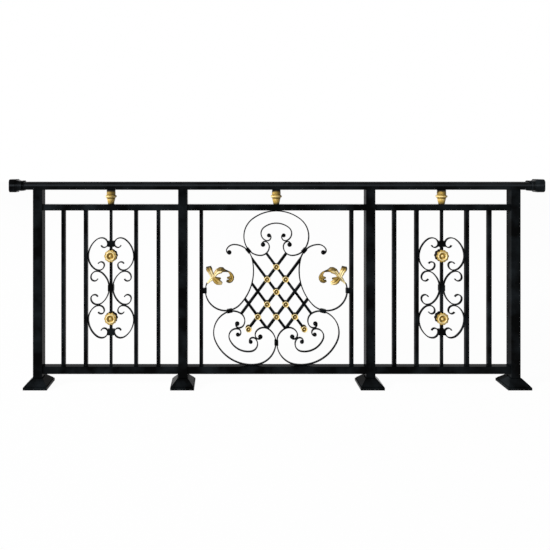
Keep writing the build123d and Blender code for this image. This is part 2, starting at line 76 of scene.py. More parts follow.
# Sockets of the Mix node that carry colours, whose names its other kinds share
MIX_FIRST = 6
MIX_SECOND = 7
MIX_RESULT = 2

Colour = tuple[float, float, float, float]
Point = tuple[float, float, float]
Profile = list[tuple[float, float, float]]
Socket = bpy.types.NodeSocket

WHITE: Colour = (1.0, 1.0, 1.0, 1.0)


class Slot(Enum):
    """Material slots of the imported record."""

    BLACK = "black_coat"
    GOLD = "gold_paint"


class Face(Enum):
    """Faces of the panel that carry castings, by the turn that points a casting out of them."""

    FRONT = 0.0
    BACK = math.pi

    @property
    def outward(self) -> float:
        """Way along Y that points out of this face."""
        return -1.0 if self is Face.FRONT else 1.0


# Node tools


def maths(tree: bpy.types.NodeTree, operation: str, *values: Socket | float) -> Socket:
    """Add a Math node to a tree.

    Args:
        tree: The tree.
        operation: Blender's name of the operation.
        values: What it works on, as sockets to link or plain numbers to set.

    Returns:
        The result.
    """
    node = tree.nodes.new("ShaderNodeMath")
    node.operation = operation
    for place, value in zip(node.inputs, values):
        if isinstance(value, Socket):
            tree.links.new(value, place)
        else:
            place.default_value = value
    return node.outputs["Value"]


# Finishes


class Shader:
    """Node tree of one material, with short calls for the nodes that the finishes share."""

    def __init__(self, name: str) -> None:
        """Start a material on Object coordinates.

        Args:
            name: The material's name.
        """
        self.material = bpy.data.materials.new(name)
        self.material.use_nodes = True
        self.tree = self.material.node_tree
        self.surface = self.tree.nodes["Principled BSDF"]
        self.place = self.tree.nodes.new("ShaderNodeTexCoord").outputs["Object"]

    def set(self, **values: float) -> None:
        """Set constant values on the shader's own sockets.

        Args:
            values: Values by socket name, with underscores for spaces.
        """
        for name, value in values.items():
            self.surface.inputs[name.replace("_", " ")].default_value = value

    def feed(self, source: Socket, name: str) -> None:
        """Link an output to one of the shader's sockets.

        Args:
            source: The output.
            name: The socket's name.
        """
        self.tree.links.new(source, self.surface.inputs[name])

    def noise(self, scale: float, detail: float) -> Socket:
        """Noise in Object space.

        Args:
            scale: Cells to a metre.
            detail: Octaves.

        Returns:
            The noise value.
        """
        node = self.tree.nodes.new("ShaderNodeTexNoise")
        node.inputs["Scale"].default_value = scale
        node.inputs["Detail"].default_value = detail
        self.tree.links.new(self.place, node.inputs["Vector"])
        return node.outputs["Fac"]

    def span(
        self, source: Socket, low: float, high: float, start: float = 0.3, stop: float = 0.7
    ) -> Socket:
        """Map a value from one span to another.

        Args:
            source: The value.
            low: Result at the start.
            high: Result at the stop.
            start: Where the value's span starts, by default where most noise lies.
            stop: Where it stops.

        Returns:
            The mapped value.
        """
        node = self.tree.nodes.new("ShaderNodeMapRange")
        limits = {"From Min": start, "From Max": stop, "To Min": low, "To Max": high}
        for name, value in limits.items():
            node.inputs[name].default_value = value
        self.tree.links.new(source, node.inputs["Value"])
        return node.outputs["Result"]

    def ramp(self, source: Socket, stops: list[tuple[float, Colour]]) -> Socket:
        """Colour ramp over a value.

        Args:
            source: The value.
            stops: Places from 0 to 1 with their colours.

        Returns:
            The colour.
        """
        node = self.tree.nodes.new("ShaderNodeValToRGB")
        elements = node.color_ramp.elements
        while len(elements) < len(stops):
            elements.new(1.0)
        for element, (place, colour) in zip(elements, stops):
            element.position = place
            element.color = colour
        self.tree.links.new(source, node.inputs["Fac"])
        return node.outputs["Color"]

    def band(self, height: float, reach: float) -> Socket:
        """Level band in Object space.

        Args:
            height: Height of its middle in metres.
            reach: Distance over which it fades, up and down.

        Returns:
            A value of 1 in the middle and 0 outside.
        """
        parts = self.tree.nodes.new("ShaderNodeSeparateXYZ")
        self.tree.links.new(self.place, parts.inputs["Vector"])
        above = maths(self.tree, "SUBTRACT", parts.outputs["Z"], height)
        away = maths(self.tree, "ABSOLUTE", above)
        return self.span(away, 1.0, 0.0, 0.0, reach)

    def blend(self, share: Socket, first: Socket, second: Colour) -> Socket:
        """Mix a colour with a plain one.

        Args:
            share: Share of the plain colour from 0 to 1.
            first: The colour.
            second: The plain colour.

        Returns:
            The mixed colour.
        """
        node = self.tree.nodes.new("ShaderNodeMix")
        node.data_type = "RGBA"
        self.tree.links.new(share, node.inputs["Factor"])
        self.tree.links.new(first, node.inputs[MIX_FIRST])
        node.inputs[MIX_SECOND].default_value = second
        return node.outputs[MIX_RESULT]

    def attribute(self, name: str) -> Socket:
        """Read a mesh attribute.

        Args:
            name: The attribute's name.

        Returns:
            Its value.
        """
        node = self.tree.nodes.new("ShaderNodeAttribute")
        node.attribute_name = name
        return node.outputs["Fac"]

    def relief(
        self, height: Socket, strength: float, distance: float, rounding: float = 0.0
    ) -> None:
        """Bump the surface, over edges that are rounded in shading only.

        Args:
            height: Height of the relief.
            strength: How much of it shows.
            distance: Depth of the relief in metres.
            rounding: Radius of the rounded edges in metres, or 0 for none.
        """
        bump = self.tree.nodes.new("ShaderNodeBump")
        bump.inputs["Strength"].default_value = strength
        bump.inputs["Distance"].default_value = distance
        self.tree.links.new(height, bump.inputs["Height"])
        if rounding:
            edge = self.tree.nodes.new("ShaderNodeBevel")
            edge.inputs["Radius"].default_value = rounding
            self.tree.links.new(edge.outputs["Normal"], bump.inputs["Normal"])
        self.feed(bump.outputs["Normal"], "Normal")


@dataclass(frozen=True)
class BlackCoat:
    """Satin black powder coat on tube and bar, with a painted highlight: a paler band along the swell
    of the handrail.
    """

    deep: Colour = (0.0006, 0.0007, 0.0008, 1.0)
    deep_stop: float = 0.42
    pale: Colour = (0.009, 0.0115, 0.0135, 1.0)
    pale_stop: float = 0.74
    smooth: float = 0.14
    rough: float = 0.24
    gloss: float = 0.025
    patch_scale: float = 9.0
    patch_detail: float = 4.0
    grain_scale: float = 620.0
    grain_detail: float = 1.0
    grain_strength: float = 0.25
    grain_depth: float = 0.00025
    edge_radius: float = 0.001
    painted_highlight: Colour = (0.021, 0.024, 0.027, 1.0)
    highlight_height: float = 1.0845
    highlight_reach: float = 0.0075

    def material(self) -> bpy.types.Material:
        """Make the coat.

        Returns:
            The material.
        """
        shader = Shader("black_powder_coat")
        patches = shader.noise(self.patch_scale, self.patch_detail)
        grain = shader.noise(self.grain_scale, self.grain_detail)
        coat = shader.ramp(patches, [(self.deep_stop, self.deep), (self.pale_stop, self.pale)])
        # Painted highlight: a paler band at a fixed height, along the swell of the handrail
        wear_and_highlight = shader.band(self.highlight_height, self.highlight_reach)
        shader.feed(shader.blend(wear_and_highlight, coat, self.painted_highlight), "Base Color")
        shader.feed(shader.span(patches, self.smooth, self.rough), "Roughness")
        shader.set(Specular_IOR_Level=self.gloss, Coat_Weight=0.0)
        shader.relief(grain, self.grain_strength, self.grain_depth, self.edge_radius)
        return shader.material


@dataclass(frozen=True)
class GoldPaint:
    """Gold paint on castings, with a brown patina left in the recesses and painted shade, black where
    the shade is deepest.
    """

    bright: Colour = (0.84, 0.70, 0.37, 1.0)
    bright_stop: float = 0.05
    middle: Colour = (0.445, 0.288, 0.064, 1.0)
    middle_stop: float = 0.35
    brown: Colour = (0.094, 0.064, 0.015, 1.0)
    brown_stop: float = 0.7
    # Black painted as shade: under the handrail and on the backs and undersides of the flowers
    shade_black: Colour = (0.012, 0.009, 0.006, 1.0)
    shade_black_stop: float = 0.98
    gloss: float = 0.15
    smooth: float = 0.2
    rough: float = 0.4
    cast_scale: float = 260.0
    cast_detail: float = 2.0
    cast_strength: float = 0.35
    cast_depth: float = 0.0006
    rub_scale: float = 90.0
    rub_detail: float = 3.0
    rub_share: float = 0.1

    def material(self) -> bpy.types.Material:
        """Make the paint.

        Returns:
            The material.
        """
        shader = Shader("gold_paint_with_patina")
        wear_and_highlight = shader.noise(self.rub_scale, self.rub_detail)
        cast = shader.noise(self.cast_scale, self.cast_detail)
        uneven = shader.span(wear_and_highlight, -self.rub_share, self.rub_share)
        worn_and_shaded = maths(shader.tree, "ADD", shader.attribute(PATINA_AND_SHADE), uneven)
        stops = [
            (self.bright_stop, self.bright),
            (self.middle_stop, self.middle),
            (self.brown_stop, self.brown),
            (self.shade_black_stop, self.shade_black),
        ]
        shader.feed(shader.ramp(worn_and_shaded, stops), "Base Color")
        shader.feed(shader.span(wear_and_highlight, self.smooth, self.rough), "Roughness")
        shader.set(Metallic=0.0, Specular_IOR_Level=self.gloss)
        shader.relief(cast, self.cast_strength, self.cast_depth)
        return shader.material


# Mesh tools


def spline(points: list[Vector], steps: int) -> list[Vector]:
    """Smooth curve through points.

    Args:
        points: Points to pass through.
        steps: Steps between one point and the next.

    Returns:
        Points along the curve, the given ones among them.
    """
    padded = [points[0] * 2 - points[1], *points, points[-1] * 2 - points[-2]]
    curve = []
    for before, start, stop, after in zip(padded, padded[1:], padded[2:], padded[3:]):
        for step in range(steps):
            t = step / steps
            bend = (before * -1 + start * 3 - stop * 3 + after) * t**3
            sway = (before * 2 - start * 5 + stop * 4 - after) * t**2
            curve.append((start * 2 + (stop - before) * t + sway + bend) / 2)
    curve.append(points[-1])
    return curve


def sized(profile: Profile, radius: float, rise: float) -> Profile:
    """Scale a profile that is drawn to a radius and a height of 1.

    Args:
        profile: Radius, height and patina and painted shade of each point.
        radius: The full radius.
        rise: The full height.

    Returns:
        The scaled profile.
    """
    return [(across * radius, height * rise, patina) for across, height, patina in profile]


def mesh_from(shape: bmesh.types.BMesh, name: str) -> bpy.types.Mesh:
    """Turn a shape into a mesh.

    Args:
        shape: The shape, which is freed.
        name: The mesh's name.

    Returns:
        The mesh.
    """
    mesh = bpy.data.meshes.new(name)
    shape.to_mesh(mesh)
    shape.free()
    return mesh


def lathe(profile: Profile, sides: int) -> bpy.types.Mesh:
    """Turn a profile about the Z axis.

    Args:
        profile: Radius, height and patina and painted shade of each point, from the axis back to the
            axis.
        sides: Sides round the axis.

    Returns:
        A mesh with an attribute of patina and painted shade.
    """
    shape = bmesh.new()
    layer = shape.verts.layers.float.new(PATINA_AND_SHADE)
    rings = []
    for radius, height, patina in profile:
        count = sides if radius > 0 else 1
        ring = []
        for side in range(count):
            angle = math.tau * side / sides
            place = (radius * math.cos(angle), radius * math.sin(angle), height)
            vertex = shape.verts.new(place)
            vertex[layer] = patina
            ring.append(vertex)
        rings.append(ring)
    for lower, upper in zip(rings, rings[1:]):
        for side in range(sides):
            corners = [
                lower[side % len(lower)],
                lower[(side + 1) % len(lower)],
                upper[(side + 1) % len(upper)],
                upper[side % len(upper)],
            ]
            shape.faces.new(list(dict.fromkeys(corners)))
    bmesh.ops.recalc_face_normals(shape, faces=shape.faces)
    return mesh_from(shape, "turned")


def link(name: str, data: bpy.types.ID) -> bpy.types.Object:
    """Put data in the scene as an object at the origin.

    Args:
        name: The object's name.
        data: A mesh, lamp or camera.

    Returns:
        The object.
    """
    made = bpy.data.objects.new(name, data)
    bpy.context.scene.collection.objects.link(made)
    return made


def add_object(name: str, mesh: bpy.types.Mesh) -> bpy.types.Object:
    """Put a mesh in the scene, smooth apart from its sharp edges.

    Args:
        name: The object's name.
        mesh: The mesh.

    Returns:
        The object.
    """
    mesh.shade_smooth()
    mesh.set_sharp_from_angle(angle=SHARP_ANGLE)
    return link(name, mesh)


def baked(source: bpy.types.Object, name: str) -> bpy.types.Object:
    """Turn an object with modifiers into a plain mesh object.

    Args:
        source: The object, which is removed.
        name: Name of the plain object.

    Returns:
        The plain object.
    """
    graph = bpy.context.evaluated_depsgraph_get()
    mesh = bpy.data.meshes.new_from_object(source.evaluated_get(graph), depsgraph=graph)
    bpy.data.objects.remove(source)
    return add_object(name, mesh)


def subdivided(source: bpy.types.Object, levels: int = 1) -> bpy.types.Object:
    """Smooth an object by subdivision and bake it under the same name.

    Args:
        source: The object, which is removed.
        levels: Levels of subdivision.

    Returns:
        The plain object.
    """
    name = source.name
    modifier = source.modifiers.new("smooth", "SUBSURF")
    modifier.levels = levels
    modifier.render_levels = levels
    return baked(source, name)


def thickened(source: bpy.types.Object, thickness: float, offset: float) -> bpy.types.Object:
    """Give a sheet a thickness, smooth it and bake it under the same name.

    Args:
        source: The sheet, which is removed.
        thickness: Its thickness.
        offset: Side of the sheet that it grows to, from -1 to 1.

    Returns:
        The plain object.
    """
    modifier = source.modifiers.new("thickness", "SOLIDIFY")
    modifier.thickness = thickness
    modifier.offset = offset
    return subdivided(source)


def joined(name: str, sources: list[bpy.types.Object]) -> bpy.types.Object:
    """Join plain mesh objects into one, keeping their patina and painted shade.

    Args:
        name: Name of the joined object.
        sources: The objects, which are removed.

    Returns:
        The joined object.
    """
    shape = bmesh.new()
    shape.verts.layers.float.new(PATINA_AND_SHADE)
    for source in sources:
        shape.from_mesh(source.data)
        bpy.data.objects.remove(source)
    return add_object(name, mesh_from(shape, name))


# Geometry Nodes


class NodeTree:
    """Geometry Nodes tree with named inputs, which ends in Realize Instances and Set Material."""

    def __init__(self, name: str, inputs: dict[str, str]) -> None:
        """Start a tree.

        Args:
            name: The tree's name.
            inputs: Names of its inputs with their socket types.
        """
        self.tree = bpy.data.node_groups.new(name, "GeometryNodeTree")
        face = self.tree.interface
        self.keys = {
            label: face.new_socket(label, in_out="INPUT", socket_type=kind).identifier
            for label, kind in ({"Geometry": "NodeSocketGeometry"} | inputs).items()
        }
        face.new_socket("Geometry", in_out="OUTPUT", socket_type="NodeSocketGeometry")
        self.input = self.node("NodeGroupInput").outputs

    def node(self, kind: str, **links: Socket) -> bpy.types.Node:
        """Add a node.

        Args:
            kind: Its type.
            links: Sockets to link to its inputs, named with underscores for spaces.

        Returns:
            The node.
        """
        made = self.tree.nodes.new(kind)
        for label, source in links.items():
            self.tree.links.new(source, made.inputs[label.replace("_", " ")])
        return made

    def copies(self, points: Socket, rotation: Socket | None = None) -> None:
        """Set a copy of the part on each point, realize the copies and end the tree.

        Args:
            points: The points.
            rotation: Angles that each copy is turned by, if any.
        """
        part = self.node("GeometryNodeObjectInfo", Object=self.input["Part"])
        links = {"Points": points, "Instance": part.outputs["Geometry"]}
        if rotation is not None:
            links["Rotation"] = rotation
        spread = self.node("GeometryNodeInstanceOnPoints", **links).outputs["Instances"]
        real = self.node("GeometryNodeRealizeInstances", Geometry=spread).outputs["Geometry"]
        paint = self.node("GeometryNodeSetMaterial", Geometry=real, Material=self.input["Material"])
        self.node("NodeGroupOutput", Geometry=paint.outputs["Geometry"])

    def run(self, carrier: bpy.types.Object, name: str, **values: object) -> bpy.types.Object:
        """Run the tree on an object and bake it to a plain mesh.

        Args:
            carrier: Object whose mesh the tree reads, which is removed.
            name: Name of the plain object.
            values: Values of the inputs by name.

        Returns:
            The plain object.
        """
        modifier = carrier.modifiers.new("nodes", "NODES")
        modifier.node_group = self.tree
        for label, value in values.items():
            modifier[self.keys[label]] = value
        return baked(carrier, name)


def part_inputs(**others: str) -> dict[str, str]:
    """Inputs that every tree has, and others.

    Args:
        others: Socket types of the other inputs by name.

    Returns:
        Socket types by name.
    """
    return {"Part": "NodeSocketObject", **others, "Material": "NodeSocketMaterial"}


def ring_tree() -> NodeTree:
    """Make the tree that sets parts in a ring about Z, each turned to point outwards.

    Returns:
        The tree.
    """
    made = NodeTree("ring_of_parts", part_inputs(Count="NodeSocketInt"))
    ring = made.node("GeometryNodeMeshCircle", Vertices=made.input["Count"])
    ring.inputs["Radius"].default_value = SAME_PLACE
    index = made.node("GeometryNodeInputIndex").outputs["Index"]
    share = maths(made.tree, "DIVIDE", index, made.input["Count"])
    angle = maths(made.tree, "MULTIPLY", share, math.tau)
    turn = made.node("ShaderNodeCombineXYZ", Z=angle)
    made.copies(ring.outputs["Mesh"], turn.outputs["Vector"])
    return made


def spread_tree() -> NodeTree:
    """Make the tree that sets a part on each point of a mesh, turned by the point's own angles.

    Returns:
        The tree.
    """
    made = NodeTree("parts_on_points", part_inputs())
    angles = made.node("GeometryNodeInputNamedAttribute")
    angles.data_type = "FLOAT_VECTOR"
    angles.inputs["Name"].default_value = TURN
    made.copies(made.input["Geometry"], angles.outputs["Attribute"])
    return made


def weld_tree() -> NodeTree:
    """Make the tree that lays overlapping ripples of weld along the edges of a mesh.

    Returns:
        The tree.
    """
    made = NodeTree("weld_runs", part_inputs(Pitch="NodeSocketFloat"))
    run = made.node("GeometryNodeMeshToCurve", Mesh=made.input["Geometry"])
    even = made.node("GeometryNodeResampleCurve", Curve=run.outputs["Curve"])
    even.mode = "LENGTH"
    made.tree.links.new(made.input["Pitch"], even.inputs["Length"])
    made.copies(even.outputs["Curve"])
    return made


def points_object(places: list[Point], turns: list[Point]) -> bpy.types.Object:
    """Make an object of loose points that carry the angles a part is turned by.

    Args:
        places: The points.
        turns: Their angles.

    Returns:
        The object.
    """
    mesh = bpy.data.meshes.new("points")
    mesh.from_pydata(places, [], [])
    layer = mesh.attributes.new(TURN, "FLOAT_VECTOR", "POINT")
    layer.data.foreach_set("vector", [angle for turn in turns for angle in turn])
    return link("points", mesh)


def finish_piece(piece: bpy.types.Object, slot: Slot, *nodes: str) -> None:
    """Let a finished piece ride on the panel and stand for CAD nodes.

    Args:
        piece: The piece.
        slot: Its material slot, not used.
        nodes: Names of the CAD nodes that it replaces, if any.
    """
    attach(piece, BODY)
    if nodes:
        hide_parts(*nodes)
    LOG.info("%s: %d faces", piece.name, len(piece.data.polygons))


# Sub-assemblies


@dataclass
class Spacers:
    """Turned gilded spacers between the upper rails and the handrail."""

    paint: bpy.types.Material
    sides: int = 28
    drawn_height: float = 79.0
    foot_inset: float = 14 * MM
    neck_inset: float = 11 * MM
    drum_inset: float = 8 * MM

    def profile(self, low: Vector, high: Vector) -> Profile:
        """Profile of one spacer with painted shade: that of the handrail at its top, of the grooves,
        and darker towards its foot.

        Args:
            low: Lowest corner of its CAD node.
            high: Highest corner.

        Returns:
            Radius, height above the ground and patina and painted shade of each point.
        """
        ring = (high.x - low.x) / 2
        foot = ring - self.foot_inset
        neck = ring - self.neck_inset
        drum = ring - self.drum_inset
        drawn = [
            (0.0, 0.0, 0.9),
            (foot, 0.0, 0.9),
            (foot, 3.0, 0.75),
            (foot + 0.3 * MM, 7.0, 0.6),
            (foot + 2.4 * MM, 17.0, 0.4),
            (neck + 2.0 * MM, 27.0, 0.26),
            (neck + 2.6 * MM, 30.0, 0.5),
            (neck + 2.6 * MM, 34.0, 0.7),
            (ring - 5 * MM, 36.0, 0.6),
            (ring - 0.8 * MM, 39.0, 0.3),
            (ring, 42.5, 0.2),
            (ring - 0.8 * MM, 46.0, 0.26),
            (ring - 4 * MM, 48.6, 0.4),
            (drum + 1.4 * MM, 49.2, 0.6),
            (drum + 0.4 * MM, 51.0, 0.62),
            (drum + 0.8 * MM, 54.0, 0.55),
            (drum + 1.2 * MM, 60.0, 0.46),
            (drum + 0.4 * MM, 68.0, 0.6),
            # Painted shadow of the handrail: black at the top
            (drum, 71.5, 0.9),
            (drum + 0.8 * MM, 74.0, 1.0),
            (drum + 0.8 * MM, self.drawn_height, 1.0),
            (0.0, self.drawn_height, 1.0),
        ]
        scale = (high.z - low.z) / self.drawn_height
        return [(radius, low.z + height * scale, patina) for radius, height, patina in drawn]

    def build(self) -> None:
        """Make the three spacers in place of their CAD nodes."""
        for bay in ("left", "centre", "right"):
            node = f"spacer_{bay}"
            low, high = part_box(node)
            mesh = lathe(self.profile(low, high), self.sides)
            mesh.transform(Matrix.Translation(((low.x + high.x) / 2, 0, 0)))
            piece = subdivided(add_object(f"turned_{node}", mesh))
            piece.data.materials.append(self.paint)
            finish_piece(piece, Slot.GOLD, node)


@dataclass
class Beads:
    """Gilded cups on the crossings of the lattice, on both faces."""

    paint: bpy.types.Material
    spread: NodeTree
    radius: float = 17 * MM
    rise: float = 13 * MM
    sides: int = 20
    crossings: tuple[tuple[int, int], ...] = (
        (0, 0), (-1, 1), (1, 1), (0, 2), (-1, 3), (1, 3), (-2, 4), (0, 4), (2, 4), (-3, 5), (3, 5),
    )

    def cup(self) -> bpy.types.Object:
        """Make one cup that points along -Y from the origin.

        Returns:
            The cup.
        """
        # Patina and painted shade: darker in the hollow round the button and on the back
        profile = [
            (0.0, 0.0, 0.6),
            (0.74, 0.0, 0.7),
            (0.86, 0.25, 0.4),
            (1.0, 0.6, 0.15),
            (0.98, 0.88, 0.1),
            (0.9, 1.0, 0.05),
            (0.78, 0.86, 0.2),
            (0.62, 0.48, 0.5),
            (0.46, 0.32, 0.65),
            (0.31, 0.34, 0.6),
            (0.26, 0.52, 0.4),
            (0.16, 0.66, 0.1),
            (0.0, 0.68, 0.0),
        ]
        mesh = lathe(sized(profile, self.radius, self.rise), self.sides)
        mesh.transform(Matrix.Rotation(QUARTER_TURN, 4, "X"))
        return subdivided(add_object("cup", mesh))

    def build(self) -> None:
        """Set the cups on the crossings in place of the CAD beads."""
        low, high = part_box("lattice_beads")
        middle_x = (low.x + high.x) / 2
        top_z = high.z - self.radius
        bar_face = high.y - self.rise
        pitch_x = (high.x - self.radius - middle_x) / max(column for column, _ in self.crossings)
        pitch_z = (top_z - low.z - self.radius) / max(level for _, level in self.crossings)
        places, turns = [], []
        for face in Face:
            y = face.outward * bar_face
            for column, level in self.crossings:
                places.append((middle_x + column * pitch_x, y, top_z - level * pitch_z))
                turns.append((0.0, 0.0, face.value))
        cup = self.cup()
        points = points_object(places, turns)
        piece = self.spread.run(points, "lattice_cups", Part=cup, Material=self.paint)
        bpy.data.objects.remove(cup)
        finish_piece(piece, Slot.GOLD, "lattice_beads")


@dataclass
class Rosettes:
    """Gilded flowers on the centre bars of the side bays, on both faces.

    A petal's outline is half widths along its length and its ribs are places across it, both as
    shares. Its heights are shares of the flower's rise, and its shades are patina and painted
    shade, darker along its crease, towards its sides and towards its tip.
    """

    paint: bpy.types.Material
    ring: NodeTree
    spread: NodeTree
    radius: float = 35 * MM
    rise: float = 17 * MM
    bar: float = 14 * MM
    petals: int = 10
    petal_length: float = 17 * MM
    petal_width: float = 11.2 * MM
    petal_thickness: float = 2.4 * MM
    outline: tuple[tuple[float, float], ...] = (
        (0.0, 0.62), (0.25, 0.86), (0.5, 1.0), (0.72, 0.86), (0.88, 0.5), (1.0, 0.04),
    )
    ribs: tuple[float, ...] = (-1.0, -0.55, 0.0, 0.55, 1.0)
    seat: float = 0.52
    climb: float = 0.2
    droop: float = 0.26
    crown: float = 0.1
    crease: float = 0.05
    shade: float = 0.1
    crease_shade: float = 0.15
    side_shade: float = 0.5
    tip_shade: float = 0.36
    underside: float = -0.2
    sides: int = 36

    def petal(self) -> bpy.types.Object:
        """Make one pointed petal along +X, creased along its middle, with Z as the flower's axis.

        Returns:
            The petal.
        """
        shape = bmesh.new()
        layer = shape.verts.layers.float.new(PATINA_AND_SHADE)
        rows = []
        inner = self.radius - self.petal_length
        for along, width in self.outline:
            row = []
            for across in self.ribs:
                crown = self.crown * (1 - abs(across)) * (1 - along)
                lift = self.seat + self.climb * along - self.droop * along**3 + crown
                dip = self.crease if across == 0.0 else 0.0
                vertex = shape.verts.new((
                    inner + along * self.petal_length,
                    across * width * self.petal_width,
                    (lift - dip) * self.rise,
                ))
                # Patina and painted shade: darker along the crease, towards the sides and towards the
                # tip
                fold = self.crease_shade if across == 0.0 else 0.0
                sides = self.side_shade * abs(across) ** 3
                vertex[layer] = self.shade + fold + sides + self.tip_shade * along**3
                row.append(vertex)
            rows.append(row)
        for first, second in zip(rows, rows[1:]):
            for a, b, c, d in zip(first, second, second[1:], first[1:]):
                shape.faces.new((a, b, c, d))
        bmesh.ops.recalc_face_normals(shape, faces=shape.faces)
        sheet = add_object("petal", mesh_from(shape, "petal"))
        made = thickened(sheet, self.petal_thickness, -1.0)
        patina = made.data.attributes[PATINA_AND_SHADE].data
        # Faces turned back towards the bar are painted black as shade
        for vertex in made.data.vertices:
            if vertex.normal.z < self.underside:
                patina[vertex.index].value = BLACK_SHADE
        return made

    def core(self) -> bpy.types.Object:
        """Make the flower's stem, its back painted black as shade, its recessed ring and button about
        Z.

        Returns:
            The core.
        """
        # The back, which faces the bar, is painted black as shade
        profile = [
            (0.0, 0.0, BLACK_SHADE),
            (0.4, 0.0, BLACK_SHADE),
            (0.45, 0.12, BLACK_SHADE),
            (0.8, 0.42, BLACK_SHADE),
            (0.9, 0.5, BLACK_SHADE),
            (0.72, 0.56, 0.5),
            (0.67, 0.72, 0.05),
            (0.61, 0.78, 0.0),
            (0.55, 0.66, 0.24),
            (0.48, 0.38, 0.4),
            (0.36, 0.28, 0.42),
            (0.27, 0.3, 0.46),
            (0.23, 0.48, 0.38),
            (0.18, 0.66, 0.24),
            (0.1, 0.74, 0.2),
            (0.0, 0.72, 0.35),
        ]
        mesh = lathe(sized(profile, self.radius, self.rise), self.sides)
        return subdivided(add_object("core", mesh))

    def flower(self) -> bpy.types.Object:
        """Make one flower that points along -Y from the origin.

        Returns:
            The flower.
        """
        petal = self.petal()
        carrier = points_object([], [])
        values = {"Part": petal, "Count": self.petals, "Material": self.paint}
        petals = self.ring.run(carrier, "petals", **values)
        bpy.data.objects.remove(petal)
        flower = joined("flower", [self.core(), petals])
        flower.data.transform(Matrix.Rotation(QUARTER_TURN, 4, "X"))
        return flower

    def build(self) -> None:
        """Set the flowers on the bars in place of the CAD rosettes."""
        flower = self.flower()
        for bay in ("left", "right"):
            node = f"rosettes_{bay}"
            low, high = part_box(node)
            middle_x = (low.x + high.x) / 2
            places, turns = [], []
            for face in Face:
                for z in (low.z + self.radius, high.z - self.radius):
                    places.append((middle_x, face.outward * self.bar / 2, z))
                    turns.append((0.0, 0.0, face.value))
            points = points_object(places, turns)
            piece = self.spread.run(points, f"flower_{node}", Part=flower, Material=self.paint)
            finish_piece(piece, Slot.GOLD, node)
        bpy.data.objects.remove(flower)


@dataclass(frozen=True)
class Frond:
    """Lobe of a leaf in millimetres: its vein as (along, out, up) points, each with a half width.

    The shades are patina and painted shade over the whole lobe, added at its rim and added at its tip,
    where a negative tip shade paints the tip lighter.
    """

    vein: tuple[tuple[Point, float], ...]
    swell: float = 4.0
    teeth: float = 0.0
    shade: float = 0.0
    rim: float = 0.3
    tip: float = 0.0


